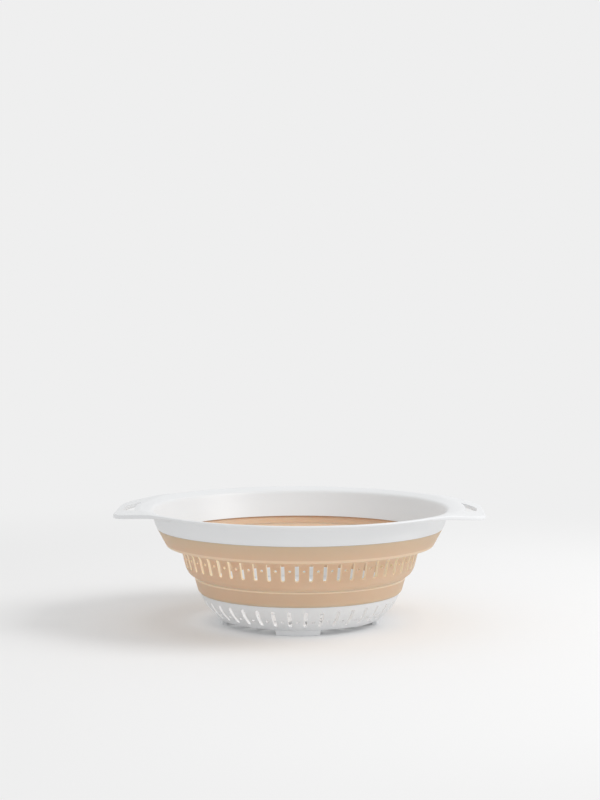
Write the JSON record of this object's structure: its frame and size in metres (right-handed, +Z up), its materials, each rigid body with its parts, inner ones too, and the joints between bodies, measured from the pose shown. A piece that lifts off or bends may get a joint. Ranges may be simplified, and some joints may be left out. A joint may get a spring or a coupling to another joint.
{
  "type": "collapsible colander",
  "caption": "Round colander with an ear on either side; its soft stepped wall folds down in stages to store flat.",
  "frame": {"origin": "on the centre line of the bowl, at the height of the soles of the feet", "axes": "+Z up through the mouth, +X through the middle of one ear, -Y towards the viewer of the picture"},
  "size_m": [0.279, 0.2412, 0.09],
  "materials": {
    "white_plastic": "satin",
    "beige_rubber": "matte"
  },
  "bodies": {
    "base": {"base_bowl": "white_plastic", "lower_wall_ring": "beige_rubber", "lower_fold_band": "beige_rubber"},
    "middle": {"middle_wall_ring": "beige_rubber", "upper_fold_band": "beige_rubber"},
    "top": {"rim": "white_plastic", "upper_wall_ring": "beige_rubber"}
  },
  "joints": [
    {"name": "lower_fold", "type": "slide", "parent": "base", "child": "middle", "axis": [0, 0, -1], "range_m": [0, 0.021], "deforming": ["lower_fold_band"]},
    {"name": "upper_fold", "type": "slide", "parent": "middle", "child": "top", "axis": [0, 0, -1], "range_m": [0, 0.032], "deforming": ["upper_fold_band"]}
  ]
}
